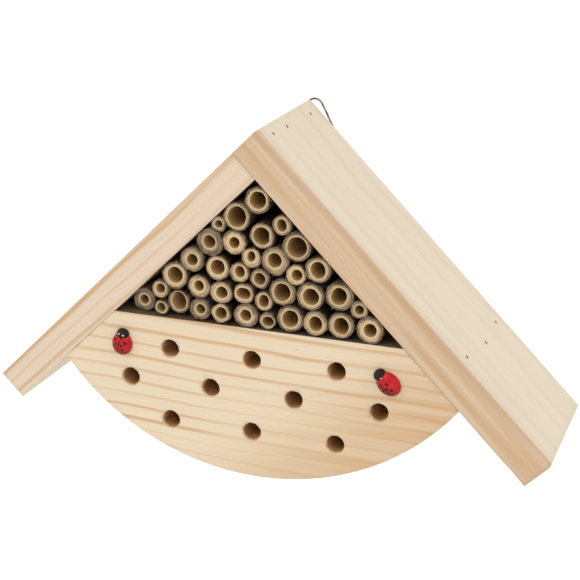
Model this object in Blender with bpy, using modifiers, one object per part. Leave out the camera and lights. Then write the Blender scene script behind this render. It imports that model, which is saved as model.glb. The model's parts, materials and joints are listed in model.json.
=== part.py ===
"""A gabled insect hotel that hangs on a wall.

Two pine boards form the roof over a round-bellied pine block drilled with nest
holes. Bamboo tubes fill the triangle between them, a thin panel closes its back,
and a wire ring, hinged in a strap behind the ridge, hangs the house from a nail.

Metres, +Z up. The front looks along -Y. The origin is on the wall plane, in the
middle of the block's back face.
"""

import math

import bmesh
import bpy
from mathutils import Matrix, Vector

MM = 0.001

# Driving dimensions.
DEPTH = 74 * MM
PITCH = math.radians(45)
BOARD_THICKNESS = 15 * MM
RIGHT_BOARD_LENGTH = 180 * MM  # along its underside, from the cavity's apex
LEFT_BOARD_LENGTH = 172 * MM
APEX_HEIGHT = 105 * MM  # the cavity's apex above the origin
CAVITY_HEIGHT = 70.5 * MM  # from the apex down to the block's flat top
BELLY_RADIUS = 121.3 * MM
BELLY_CENTRE_DROP = 22.7 * MM  # below the apex
GAP = 0.3 * MM  # between pieces that touch
TUBE_GAP = 0.1 * MM  # between tubes, and between them and the wood
OVERRUN = 1 * MM  # of a cutter past the face it opens
EDGE_ROUNDING = 0.6 * MM

# Sides of round pieces.
FINE_SIDES = 24
TUBE_SIDES = 18
SMALL_SIDES = 12
BELLY_STEPS = 48

# Nest holes drilled into the block: rows below the apex, places in pitches.
HOLE_DIAMETER = 8.5 * MM
HOLE_DEPTH = 58 * MM
HOLE_PITCH = 40.8 * MM
HOLE_GRID_SHIFT = -1.4 * MM
HOLE_ROWS = [
    (85.7 * MM, (-1, 0, 1)),
    (102.5 * MM, (-1.5, -0.5, 0.5, 1.5)),
    (121.5 * MM, (-1, 0, 1)),
]

PANEL_THICKNESS = 4 * MM
PANEL_INSET = 1 * MM  # from the wall plane

# Bamboo tubes from the ridge down, in millimetres: across from the apex, down
# from the apex, outer diameter, bore, and how far the cut end stands back.
BAMBOO_TUBES = [
    (1.5, 9.5, 12.25, 8.0, 0.0),
    (-7.5, 18.0, 13.0, 9.25, 0.0),
    (-17.5, 22.5, 7.0, 3.75, 0.5),
    (3.5, 26.0, 11.75, 8.25, 0.0),
    (12.5, 20.5, 9.0, 5.25, 1.0),
    (-22.0, 32.0, 12.75, 6.25, 0.5),
    (-9.5, 30.0, 11.25, 5.25, 0.0),
    (19.5, 29.5, 13.25, 9.5, 0.0),
    (-1.0, 37.0, 9.25, 4.5, 0.5),
    (9.5, 37.0, 13.0, 6.75, 1.0),
    (-30.5, 41.0, 11.5, 5.5, 0.0),
    (-18.0, 43.5, 11.5, 7.0, 0.0),
    (-7.5, 44.5, 9.25, 5.25, 0.5),
    (2.0, 46.5, 9.25, 5.75, 1.0),
    (19.5, 42.0, 9.5, 5.25, 0.0),
    (29.5, 39.0, 12.0, 7.5, 0.0),
    (-39.0, 49.5, 12.75, 7.75, 0.0),
    (-27.0, 53.5, 11.0, 5.0, 0.0),
    (-16.5, 55.0, 10.5, 5.75, 0.0),
    (-5.5, 54.5, 9.5, 6.25, 0.5),
    (13.0, 51.5, 12.5, 8.25, 0.5),
    (26.5, 51.5, 13.0, 7.75, 0.0),
    (40.0, 50.0, 13.0, 7.75, 0.0),
    (-46.5, 57.0, 8.25, 4.75, 0.0),
    (-56.5, 64.5, 11.0, 4.5, 4.0),
    (-39.0, 63.0, 11.0, 8.0, 2.5),
    (-46.0, 66.0, 6.5, 4.5, 1.0),
    (-27.0, 64.5, 10.0, 4.75, 0.5),
    (-16.5, 65.0, 9.25, 5.75, 0.0),
    (-4.5, 64.5, 11.25, 5.5, 0.5),
    (4.0, 57.0, 8.75, 5.5, 1.0),
    (6.0, 66.0, 7.75, 5.25, 0.5),
    (17.0, 63.5, 12.25, 8.0, 0.0),
    (29.0, 64.0, 11.5, 6.75, 0.0),
    (41.0, 63.5, 12.0, 7.5, 0.0),
    (49.5, 56.0, 8.0, 4.5, 0.5),
    (54.0, 64.5, 12.5, 6.25, 0.0),
]
SETTLING_ROUNDS = 2000

# Brads: each one's distance along the roof from the cavity's apex, and its depth
# from the front.
BRAD_LENGTH = 30 * MM
BRAD_RADIUS = 0.5 * MM
BRAD_HEAD_RADIUS = 0.7 * MM
BRAD_HEAD_HEIGHT = 0.5 * MM
BRAD_SUNK = 0.4 * MM
RIDGE_BRADS = [(-9.8 * MM, 14 * MM), (-9.4 * MM, 31 * MM), (-8.6 * MM, 62.5 * MM)]
BLOCK_BRADS = [(121 * MM, 12 * MM), (124.5 * MM, 39 * MM), (123 * MM, 64.5 * MM)]

# Ladybirds glued to the block's front: across, below the apex, how far the head
# leans to the right, and the shell's length.
LADYBIRDS = {
    "ladybird_left": (-66.3 * MM, 86.2 * MM, math.radians(6), 11.2 * MM),
    "ladybird_right": (64 * MM, 87.75 * MM, math.radians(-47), 12.4 * MM),
}
SHELL_WIDTH = 10.2 * MM
SHELL_HEIGHT = 7.4 * MM  # of the whole ellipsoid, half of it shows
HEAD_SIZE = (6.2 * MM, 5.6 * MM, 5.2 * MM)
HEAD_LAP = 0.5 * MM  # from the shell's tip back to the head's centre

# Hanger behind the ridge.
WIRE_RADIUS = 0.5 * MM
RING_X = 2.2 * MM
RING_BAR_DROP = -7 * MM  # below the apex, so the bar is above it
RING_HEIGHT = 18.8 * MM  # to the sharp corner that the rounding takes off
RING_HALF_WIDTH = 10 * MM
RING_TOP_ROUNDING = 4 * MM
RING_FOOT_ROUNDING = 1.5 * MM
STRAP_WIDTH = 7 * MM
STRAP_THICKNESS = 1.2 * MM  # two layers of the folded strip
STRAP_DROP = 8 * MM  # from the bar to its lower end
STRAP_BORE_RADIUS = 0.7 * MM
SCREW_DROP = 4.6 * MM  # below the bar
SCREW_RADIUS = 1.25 * MM
SCREW_LENGTH = 14 * MM
SCREW_HEAD_RADIUS = 2.6 * MM
SCREW_HEAD_HEIGHT = 1.5 * MM
SCREW_HEAD_RIM = 0.6 * MM  # its straight side, under the dome
CROSS_SLOT = (2.8 * MM, 0.6 * MM)

# Colours in linear RGB, with roughness and metallic.
PINE = ((0.79, 0.64, 0.47), 0.62, 0.0)
PLYWOOD = ((0.62, 0.46, 0.30), 0.7, 0.0)
BAMBOO = ((0.55, 0.42, 0.26), 0.75, 0.0)
RED_PAINT = ((0.55, 0.02, 0.02), 0.25, 0.0)
BRASS = ((0.42, 0.34, 0.18), 0.4, 1.0)
STEEL = ((0.25, 0.24, 0.23), 0.45, 1.0)


# Scene and object helpers.

def clear_scene():
    for thing in list(bpy.data.objects):
        bpy.data.objects.remove(thing, do_unlink=True)


def new_collection(name):
    collection = bpy.data.collections.new(name)
    bpy.context.scene.collection.children.link(collection)
    return collection


def new_material(name, look):
    colour, roughness, metallic = look
    material = bpy.data.materials.new(name)
    material.use_nodes = True
    shader = material.node_tree.nodes["Principled BSDF"]
    shader.inputs["Base Color"].default_value = (*colour, 1.0)
    shader.inputs["Roughness"].default_value = roughness
    shader.inputs["Metallic"].default_value = metallic
    return material


def add_object(name, data, look, matrix):
    """Link a piece made of data, with its own material, at a placement."""
    piece = bpy.data.objects.new(name, data)
    PIECES.objects.link(piece)
    piece.matrix_world = matrix
    data.materials.append(new_material(name, look))
    return piece


def add_cutter(name, mesh):
    cutter = bpy.data.objects.new(name, mesh)
    CUTTERS.objects.link(cutter)
    cutter.hide_render = True
    cutter.display_type = "WIRE"
    return cutter


def combine(piece, other, operation):
    """Cut, join or intersect a piece with another object."""
    modifier = piece.modifiers.new(operation.lower(), "BOOLEAN")
    modifier.operation = operation
    modifier.object = other


def round_edges(piece, width):
    bevel = piece.modifiers.new("rounding", "BEVEL")
    bevel.width = width
    bevel.segments = 2
    bevel.limit_method = "ANGLE"


def shade_round(mesh):
    """Shade a mesh smooth, with its real edges kept sharp."""
    mesh.shade_smooth()
    mesh.set_sharp_from_angle(angle=math.radians(40))


def mesh_from(name, build):
    """Return a mesh that build(bm) has filled."""
    bm = bmesh.new()
    build(bm)
    mesh = bpy.data.meshes.new(name)
    bm.to_mesh(mesh)
    bm.free()
    shade_round(mesh)
    return mesh


def evaluated_mesh(name, data, add_modifiers=None):
    """Return data as Blender evaluates it on an object, as a mesh of its own."""
    draft = bpy.data.objects.new(name, data)
    bpy.context.scene.collection.objects.link(draft)
    if add_modifiers:
        add_modifiers(draft)
    evaluated = draft.evaluated_get(bpy.context.evaluated_depsgraph_get())
    mesh = bpy.data.meshes.new_from_object(evaluated)
    bpy.data.objects.remove(draft, do_unlink=True)
    return mesh


def scaling(size):
    return Matrix.Diagonal((*size, 1.0))


def box_mesh(name, size):
    return mesh_from(name, lambda bm: bmesh.ops.create_cube(bm, size=1, matrix=scaling(size)))


def add_rod(bm, radius, length, matrix, sides=FINE_SIDES):
    """Add a closed cylinder along the matrix's Z axis, centred on its origin."""
    bmesh.ops.create_cone(
        bm,
        cap_ends=True,
        segments=sides,
        radius1=radius,
        radius2=radius,
        depth=length,
        matrix=matrix,
    )


def turned_mesh(name, profile, sides):
    """Turn a profile of (radius, height) points around Z. The profile runs down
    its outer side, and is closed into a loop unless it starts on the axis."""
    mesh = bpy.data.meshes.new(name)
    count = len(profile)
    edges = [(i, i + 1) for i in range(count - 1)]
    if profile[0][0] > 0:
        edges.append((count - 1, 0))
    mesh.from_pydata([(radius, 0, height) for radius, height in profile], edges, [])

    def turn(draft):
        screw = draft.modifiers.new("turning", "SCREW")
        screw.steps = sides
        screw.render_steps = sides
        screw.use_merge_vertices = True
        screw.merge_threshold = 0.00001

    turned = evaluated_mesh(name, mesh, turn)
    shade_round(turned)
    return turned


def outline_mesh(name, outline, thickness):
    """Fill a closed outline of (x, z) points and give it a thickness along Y."""
    curve = bpy.data.curves.new(name, "CURVE")
    curve.dimensions = "2D"
    curve.fill_mode = "BOTH"
    curve.extrude = thickness / 2
    spline = curve.splines.new("POLY")
    spline.points.add(len(outline) - 1)
    for point, (x, z) in zip(spline.points, outline):
        point.co = (x, z, 0, 1)
    spline.use_cyclic_u = True

    def stand_up(bm):
        bm.from_mesh(evaluated_mesh(name, curve))
        bmesh.ops.remove_doubles(bm, verts=bm.verts, dist=0.00001)
        bmesh.ops.rotate(bm, verts=bm.verts, matrix=Matrix.Rotation(math.pi / 2, 3, "X"))
        bmesh.ops.recalc_face_normals(bm, faces=bm.faces)

    return mesh_from(name, stand_up)


# Places.

def at(across, drop, depth):
    """A point given across and below the cavity's apex, and back from the front."""
    return Vector((across, depth - DEPTH, APEX_HEIGHT - drop))


def roof_frame(side, along, depth):
    """A placement on a board's underside: X down the slope on the right board and
    up it on the left one, Z out of the roof. side is 1 on the right, -1 on the left."""
    point = at(side * along * math.cos(PITCH), along * math.sin(PITCH), depth)
    return Matrix.Translation(point) @ Matrix.Rotation(side * PITCH, 4, "Y")


def settled(tubes):
    """Move tubes apart, and off the walls, until each is clear of the others."""
    centres = [Vector((across, -drop)) for across, drop, *_ in tubes]
    radii = [outer / 2 for _, _, outer, *_ in tubes]
    gap = TUBE_GAP / MM
    slope = Vector((math.sin(PITCH), -math.cos(PITCH)))
    walls = [
        (slope, 0),
        (Vector((-slope.x, slope.y)), 0),
        (Vector((0, 1)), CAVITY_HEIGHT / MM),
    ]
    for _ in range(SETTLING_ROUNDS):
        for i, centre in enumerate(centres):
            for j in range(i):
                apart = centre - centres[j]
                push = radii[i] + radii[j] + gap - apart.length
                if push > 0:
                    step = apart.normalized() * push / 2
                    centre += step
                    centres[j] -= step
            for inward, offset in walls:
                push = radii[i] + gap - (centre.dot(inward) + offset)
                if push > 0:
                    centre += inward * push
    return centres


# Pieces of the house.

def make_boards():
    sides = {
        "left_roof_board": (-1, GAP, LEFT_BOARD_LENGTH),
        "right_roof_board": (1, -BOARD_THICKNESS, RIGHT_BOARD_LENGTH),
    }
    boards = {}
    for name, (side, start, end) in sides.items():
        mesh = box_mesh(name, (end - start, DEPTH, BOARD_THICKNESS))
        middle = roof_frame(side, (start + end) / 2, DEPTH / 2)
        middle = middle @ Matrix.Translation((0, 0, BOARD_THICKNESS / 2))
        boards[side] = add_object(name, mesh, PINE, middle)
        round_edges(boards[side], EDGE_ROUNDING)
    return boards


def block_outline():
    """The flat top, the two slopes under the boards and the belly's arc, in
    (across, up) from the apex."""
    top = -CAVITY_HEIGHT
    slope_shift = GAP / math.sin(PITCH)  # how far down the gap puts the slopes
    shoulder = (CAVITY_HEIGHT - slope_shift) / math.tan(PITCH)
    centre = -BELLY_CENTRE_DROP
    # The arc meets the slope z = -x tan(pitch) - shift where this quadratic is 0.
    rise = centre + slope_shift
    tangent = math.tan(PITCH)
    a = 1 + tangent**2
    b = 2 * rise * tangent
    c = rise**2 - BELLY_RADIUS**2
    tip = (-b + math.sqrt(b**2 - 4 * a * c)) / (2 * a)
    reach = math.asin(tip / BELLY_RADIUS)
    outline = [(-shoulder, top), (shoulder, top)]
    for i in range(BELLY_STEPS + 1):
        angle = reach * (1 - 2 * i / BELLY_STEPS)
        across = BELLY_RADIUS * math.sin(angle)
        outline.append((across, centre - BELLY_RADIUS * math.cos(angle)))
    return outline


def nest_holes():
    """The (across, below the apex) of each drilled hole."""
    for drop, places in HOLE_ROWS:
        for place in places:
            yield HOLE_GRID_SHIFT + place * HOLE_PITCH, drop


def make_block():
    mesh = outline_mesh("drilled_block", block_outline(), DEPTH)
    middle = Matrix.Translation(at(0, 0, DEPTH / 2))
    block = add_object("drilled_block", mesh, PINE, middle)

    def drills(bm):
        for across, drop in nest_holes():
            centre = at(across, drop, (HOLE_DEPTH - OVERRUN) / 2)
            place = Matrix.Translation(centre) @ Matrix.Rotation(math.pi / 2, 4, "X")
            add_rod(bm, HOLE_DIAMETER / 2, HOLE_DEPTH + OVERRUN, place)

    combine(block, add_cutter("nest_hole_drills", mesh_from("drills", drills)), "DIFFERENCE")
    return block


def make_back_panel():
    top = GAP / math.sin(PITCH)
    bottom = CAVITY_HEIGHT - GAP
    half_width = (bottom - top) / math.tan(PITCH)
    outline = [(0, -top), (-half_width, -bottom), (half_width, -bottom)]
    mesh = outline_mesh("back_panel", outline, PANEL_THICKNESS)
    middle = at(0, 0, DEPTH - PANEL_INSET - PANEL_THICKNESS / 2)
    add_object("back_panel", mesh, PLYWOOD, Matrix.Translation(middle))


def make_tubes():
    tube_back = DEPTH - PANEL_INSET - PANEL_THICKNESS - GAP
    centres = settled(BAMBOO_TUBES)
    for number, (tube, centre) in enumerate(zip(BAMBOO_TUBES, centres), start=1):
        outer, bore, inset = (value * MM for value in tube[2:])
        length = tube_back - inset
        profile = [(outer / 2, length), (outer / 2, 0), (bore / 2, 0), (bore / 2, length)]
        name = f"bamboo_tube_{number:02d}"
        # Z of the turned profile points forward, to the front of the house.
        place = Matrix.Translation(at(centre.x * MM, -centre.y * MM, tube_back))
        place = place @ Matrix.Rotation(math.pi / 2, 4, "X")
        add_object(name, turned_mesh(name, profile, TUBE_SIDES), BAMBOO, place)


def make_brads(boards, block):
    """Nail the right board to the left one, and both boards to the block."""
    head_base = BOARD_THICKNESS - BRAD_SUNK - BRAD_HEAD_HEIGHT
    profile = [
        (0, BRAD_HEAD_HEIGHT),
        (BRAD_HEAD_RADIUS, BRAD_HEAD_HEIGHT),
        (BRAD_HEAD_RADIUS, 0),
        (BRAD_RADIUS, 0),
        (BRAD_RADIUS, -BRAD_LENGTH + 3 * BRAD_RADIUS),
        (0, -BRAD_LENGTH),
    ]
    rows = [
        ("ridge_brad", 1, RIDGE_BRADS, boards[-1]),
        ("right_block_brad", 1, BLOCK_BRADS, block),
        ("left_block_brad", -1, BLOCK_BRADS, block),
    ]
    for name, side, spots, second in rows:
        lift = Matrix.Translation((0, 0, head_base))
        places = [roof_frame(side, along, depth) @ lift for along, depth in spots]
        for number, place in enumerate(places, start=1):
            brad = f"{name}_{number}"
            add_object(brad, turned_mesh(brad, profile, SMALL_SIDES), STEEL, place)

        def shank_holes(bm):
            length = BRAD_LENGTH + GAP
            for place in places:
                middle = place @ Matrix.Translation((0, 0, -length / 2))
                add_rod(bm, BRAD_RADIUS + GAP, length, middle, SMALL_SIDES)

        def head_recesses(bm):
            length = GAP + BRAD_HEAD_HEIGHT + BRAD_SUNK + OVERRUN
            for place in places:
                middle = place @ Matrix.Translation((0, 0, length / 2 - GAP))
                add_rod(bm, BRAD_HEAD_RADIUS + GAP, length, middle, SMALL_SIDES)

        shanks = add_cutter(f"{name}_holes", mesh_from(name, shank_holes))
        heads = add_cutter(f"{name}_recesses", mesh_from(name, head_recesses))
        combine(boards[side], shanks, "DIFFERENCE")
        combine(boards[side], heads, "DIFFERENCE")
        combine(second, shanks, "DIFFERENCE")


def ellipsoid_mesh(name, size, centre_z):
    place = Matrix.Translation((0, 0, centre_z)) @ scaling(size)

    def build(bm):
        bmesh.ops.create_uvsphere(bm, u_segments=20, v_segments=12, radius=0.5, matrix=place)

    return mesh_from(name, build)


def make_ladybirds():
    """A half-round shell and head, cut flat where they are glued to the block."""
    for name, (across, drop, turn, length) in LADYBIRDS.items():
        place = Matrix.Translation(at(across, drop, -GAP)) @ Matrix.Rotation(turn, 4, "Y")
        shell = ellipsoid_mesh(name, (SHELL_WIDTH, SHELL_HEIGHT, length), 0)
        ladybird = add_object(name, shell, RED_PAINT, place)
        head = ellipsoid_mesh(name, HEAD_SIZE, length / 2 - HEAD_LAP)
        back_half = box_mesh(name, (2 * length, SHELL_HEIGHT, 3 * length))
        head_cutter = add_cutter(f"{name}_head", head)
        head_cutter.matrix_world = place
        combine(ladybird, head_cutter, "UNION")
        back_cutter = add_cutter(f"{name}_back", back_half)
        back_cutter.matrix_world = place @ Matrix.Translation((0, SHELL_HEIGHT / 2, 0))
        combine(ladybird, back_cutter, "DIFFERENCE")


# The hanger.

def rounded_corner(before, corner, after, radius, steps=6):
    """Points of the arc that rounds a corner between two straight sides."""
    to_before = (before - corner).normalized()
    to_after = (after - corner).normalized()
    half_angle = to_before.angle(to_after) / 2
    middle = (to_before + to_after).normalized()
    centre = corner + middle * radius / math.sin(half_angle)
    start = corner + to_before * radius / math.tan(half_angle) - centre
    end = corner + to_after * radius / math.tan(half_angle) - centre
    sweep = start.angle(end)
    points = []
    for i in range(steps + 1):
        share = i / steps
        ahead = start * math.sin((1 - share) * sweep) + end * math.sin(share * sweep)
        points.append(centre + ahead / math.sin(sweep))
    return points


def hinge_point():
    """The middle of the ring's bar, just behind the roof boards."""
    behind = GAP + STRAP_THICKNESS
    return at(RING_X, RING_BAR_DROP, DEPTH) + Vector((0, behind, 0))


def make_ring():
    """A wire triangle that stands on its bar, with its origin on the hinge axis."""
    top = Vector((0, 0, RING_HEIGHT))
    right = Vector((RING_HALF_WIDTH, 0, 0))
    left = Vector((-RING_HALF_WIDTH, 0, 0))
    route = rounded_corner(right, top, left, RING_TOP_ROUNDING)
    route += rounded_corner(top, left, right, RING_FOOT_ROUNDING)
    route += rounded_corner(left, right, top, RING_FOOT_ROUNDING)
    curve = bpy.data.curves.new("hanger_ring", "CURVE")
    curve.dimensions = "3D"
    curve.bevel_depth = WIRE_RADIUS
    curve.bevel_resolution = 2
    spline = curve.splines.new("POLY")
    spline.points.add(len(route) - 1)
    for point, place in zip(spline.points, route):
        point.co = (*place, 1)
    spline.use_cyclic_u = True
    add_object("hanger_ring", curve, BRASS, Matrix.Translation(hinge_point()))


def make_strap():
    """A folded strip: a barrel around the ring's bar and a plate under the screw."""
    bar = hinge_point()
    barrel_radius = STRAP_THICKNESS
    plate = box_mesh("hanger_strap", (STRAP_WIDTH, STRAP_THICKNESS, STRAP_DROP))
    plate_middle = bar - Vector((0, STRAP_THICKNESS / 2, STRAP_DROP / 2))
    strap = add_object("hanger_strap", plate, BRASS, Matrix.Translation(plate_middle))
    along_bar = Matrix.Translation(bar) @ Matrix.Rotation(math.pi / 2, 4, "Y")

    def barrel(bm):
        add_rod(bm, barrel_radius, STRAP_WIDTH, along_bar)

    def bar_bore(bm):
        add_rod(bm, STRAP_BORE_RADIUS, STRAP_WIDTH + 2 * OVERRUN, along_bar)

    def screw_hole(bm):
        length = STRAP_THICKNESS + 2 * OVERRUN
        add_rod(bm, SCREW_RADIUS + GAP, length, screw_place(GAP + STRAP_THICKNESS / 2))

    combine(strap, add_cutter("strap_barrel", mesh_from("barrel", barrel)), "UNION")
    combine(strap, add_cutter("strap_bore", mesh_from("bore", bar_bore)), "DIFFERENCE")
    combine(strap, add_cutter("strap_hole", mesh_from("hole", screw_hole)), "DIFFERENCE")


def screw_place(above_wall):
    """A placement on the screw's axis, Z pointing back, out of the wood."""
    point = at(RING_X, RING_BAR_DROP + SCREW_DROP, DEPTH) + Vector((0, above_wall, 0))
    return Matrix.Translation(point) @ Matrix.Rotation(-math.pi / 2, 4, "X")


def make_screw(board):
    """A pan-head screw through the strap into the right board's back edge."""
    under_head = 2 * GAP + STRAP_THICKNESS
    dome = SCREW_HEAD_HEIGHT - SCREW_HEAD_RIM
    profile = [(0, SCREW_HEAD_HEIGHT)]
    dome_steps = 4
    for i in range(1, dome_steps + 1):
        angle = math.pi / 2 * i / dome_steps
        height = SCREW_HEAD_RIM + dome * math.cos(angle)
        profile.append((SCREW_HEAD_RADIUS * math.sin(angle), height))
    profile += [
        (SCREW_HEAD_RADIUS, 0),
        (SCREW_RADIUS, 0),
        (SCREW_RADIUS, -SCREW_LENGTH + 2 * SCREW_RADIUS),
        (0, -SCREW_LENGTH),
    ]
    place = screw_place(under_head)
    mesh = turned_mesh("hanger_screw", profile, FINE_SIDES)
    screw = add_object("hanger_screw", mesh, STEEL, place)
    for i in range(2):
        slot = box_mesh("cross_slot", (*CROSS_SLOT, SCREW_HEAD_HEIGHT))
        cutter = add_cutter(f"cross_slot_{i + 1}", slot)
        lift = Matrix.Translation((0, 0, SCREW_HEAD_HEIGHT))
        cutter.matrix_world = place @ lift @ Matrix.Rotation(i * math.pi / 2, 4, "Z")
        combine(screw, cutter, "DIFFERENCE")

    def pilot_hole(bm):
        length = SCREW_LENGTH + GAP
        below = Matrix.Translation((0, 0, -length / 2))
        add_rod(bm, SCREW_RADIUS + GAP, length, place @ below)

    combine(board, add_cutter("screw_pilot", mesh_from("pilot", pilot_hole)), "DIFFERENCE")


clear_scene()
PIECES = new_collection("insect_hotel")
CUTTERS = new_collection("insect_hotel_cutters")


def main():
    boards = make_boards()
    block = make_block()
    make_back_panel()
    make_tubes()
    make_brads(boards, block)
    make_ladybirds()
    make_ring()
    make_strap()
    make_screw(boards[1])


main()
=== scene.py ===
"""The looks of a gabled insect hotel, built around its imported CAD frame.

Planed pine boards lie over a drilled block, bamboo tubes with ragged cut ends fill
the gable, two painted wooden ladybirds sit on the front and a bronze wire ring
stands behind the ridge. Metres, +Z up, in the frame of the CAD model: the wall is
the plane y = 0 and the front looks along -Y.
"""

import json
import math
import random

import bmesh
import bpy
from mathutils import Matrix, Vector, noise
from mathutils.geometry import convex_hull_2d


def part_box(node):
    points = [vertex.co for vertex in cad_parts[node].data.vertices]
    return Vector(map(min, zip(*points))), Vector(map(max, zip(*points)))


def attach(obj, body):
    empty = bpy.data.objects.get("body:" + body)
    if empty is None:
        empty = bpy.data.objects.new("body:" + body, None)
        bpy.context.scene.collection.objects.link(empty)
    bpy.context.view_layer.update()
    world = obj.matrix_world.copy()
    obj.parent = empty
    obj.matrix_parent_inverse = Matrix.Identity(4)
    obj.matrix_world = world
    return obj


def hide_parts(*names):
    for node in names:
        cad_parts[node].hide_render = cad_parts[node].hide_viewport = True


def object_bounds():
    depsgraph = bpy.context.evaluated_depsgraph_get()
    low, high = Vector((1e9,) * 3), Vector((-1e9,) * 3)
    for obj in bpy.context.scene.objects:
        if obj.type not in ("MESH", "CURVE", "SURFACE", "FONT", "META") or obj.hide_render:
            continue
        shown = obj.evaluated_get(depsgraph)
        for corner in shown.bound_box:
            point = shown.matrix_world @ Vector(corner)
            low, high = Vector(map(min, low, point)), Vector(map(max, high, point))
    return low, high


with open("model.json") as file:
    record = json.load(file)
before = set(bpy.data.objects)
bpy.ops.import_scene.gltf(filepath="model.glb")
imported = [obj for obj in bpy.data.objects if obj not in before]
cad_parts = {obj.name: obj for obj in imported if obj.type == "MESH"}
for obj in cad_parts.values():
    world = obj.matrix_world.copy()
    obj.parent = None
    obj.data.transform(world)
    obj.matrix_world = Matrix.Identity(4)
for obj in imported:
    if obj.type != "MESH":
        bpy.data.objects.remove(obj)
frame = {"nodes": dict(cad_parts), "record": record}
CAD_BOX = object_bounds()

MM = 0.001
HOUSE = "house"
RIGHT = Vector((1, 0, 0))
UP = Vector((0, 0, 1))

# The roof's slope, and the angle past which an edge stays sharp.
PITCH = math.radians(45)
SHARP_ANGLE = math.radians(35)

# Wood: rounding of sawn edges, the mesh cells of a face, how far a face waves.
EDGE_ROUNDING = 0.3 * MM
BLOCK_ROUNDING = 0.15 * MM
WOOD_CELL = 2.5 * MM
FACE_WAVE = 0.05 * MM
EDGE_WEAR = 0.3 * MM
SEAM_CLOSING = 0.28 * MM  # how far the boards reach into the CAD model's gaps
TOOL_CLEARANCE = 0.3 * MM  # of a hole round the brad or screw in it

NEST_HOLE_RADIUS = 4.25 * MM
NEST_HOLE_DEPTH = 58 * MM
DRILL_POINT = 2.2 * MM
MOUTH_DEPTH = 1.0 * MM  # of a hole's widened mouth
MOUTH_TEAR = 0.5 * MM
TEAR_REACH = 2.2 * MM
CORNER_DENT = Vector((0.9, 0.8, 1.3)) * MM

# Bamboo.
TUBE_SIDES = 72
BARK_SWELL = 0.1 * MM  # of the real bark over the plain CAD tube
THICK_BARK = 0.18  # of the wall, from which a seam shows under the bark
BARK_LAYER = 0.82  # where the bark starts in the material's layers
FIBRE_RADIUS = 0.13 * MM

# Brads, and the holes that they were driven into.
BRAD_HEAD_RADIUS = 0.7 * MM
BRAD_HEAD_DEPTH = 0.7 * MM
BRAD_RADIUS = 0.5 * MM
BRAD_LENGTH = 30 * MM
BRAD_RECESS = 0.06 * MM  # of the hole round a head
BRAD_TEAR = 0.12 * MM  # more of it at the mouth

# Ladybirds: the turn of each head from straight up, the further turn of its painted
# pattern, and the middles of the pattern and of the eyes, in mm across and up.
LADYBIRDS = {
    "ladybird_left": (math.radians(6), math.radians(11), (-0.3, 1.3), (0.2, 0.35)),
    "ladybird_right": (math.radians(-47), math.radians(3), (-1.9, 0.1), (-0.8, -1.4)),
}
SPOTS = [(2.6, 0.7), (1.25, -1.0), (2.3, -2.8)]  # mm from the pattern's middle, each side
SPOT_RADIUS = 0.78 * MM
SPOT_LIFT = 0.09 * MM
SPOT_SINK = 0.05 * MM  # of a spot's edge into the dome
SPOT_LIMIT = 0.75  # of the shell's half size, past which no spot is painted
EYE_SPACING = 1.1  # mm from the middle
EYE_RADIUS = 0.42 * MM
EYE_LIFT = 0.16 * MM
SEAM_TOP = 2.6  # mm from the pattern's middle
SEAM_LENGTH = 6.2  # mm
SEAM_RADIUS = 0.2 * MM
HEAD_HALF = Vector((3.1, 3.5, 2.6)) * MM
PAINT_ROOM = 0.995  # of each CAD dome, which leaves room for the paint
PAINTED_SHADE_SIDE = (-0.35, 0.0, -0.94)  # the side, down and to the left, that painted shade darkens
HEAD_LAP = 0.5 * MM  # from the shell's tip back to the head's centre

# The hanger, as the CAD model has it.
WIRE_RADIUS = 0.5 * MM
RING_HEIGHT = 18.8 * MM
RING_HALF_WIDTH = 10 * MM
RING_TOP_ROUNDING = 4 * MM
RING_FOOT_ROUNDING = 1.5 * MM
BARREL_RADIUS = 1.2 * MM  # outside, of the strip's bend round the ring's bar
STRIP_THICKNESS = 0.52 * MM
STRIP_COLUMNS = 15
STRIP_FOOT_ROUNDING = 1.6 * MM
SCREW_HEAD_RADIUS = 2.6 * MM
SCREW_HEAD_HEIGHT = 1.5 * MM
SCREW_RADIUS = 1.25 * MM
SCREW_LENGTH = 14 * MM
THREAD_TURNS = 9
THREAD_PITCH = 1.3 * MM
THREAD_DEPTHS = (0.0, 0.18, 0.36, 0.18)  # mm, over one turn
SLOT_SIZE = Vector((2.8, 0.6, 1.6)) * MM

# Camera and studio.
CAMERA_PLACE = Vector((0.2322, -0.6831, 0.2771))
CAMERA_AIM = Vector((-0.00415, -0.01425, 0.03370))
CAMERA_ROLL = math.radians(0.5)
CAMERA_LENS = 95.02  # millimetres, on a 36 mm sensor
FLOOR_DROP = 0.45  # below the house, which hangs
FLOOR_SIZE = 40
LIGHT_SPREAD = math.radians(45)
KEY_SUN = ((-0.6, -1.0, 1.1), 0.55)  # where it stands, and its strength
FILL_SUN = ((1.0, -0.3, 1.0), 0.2)
WORLD_STRENGTH = 1.03


def srgb(red, green, blue):
    """A display colour, 0 to 255, as linear RGB."""
    values = [channel / 255 for channel in (red, green, blue)]
    return tuple(v / 12.92 if v < 0.04 else ((v + 0.055) / 1.055) ** 2.4 for v in values)


# Materials.

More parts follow.
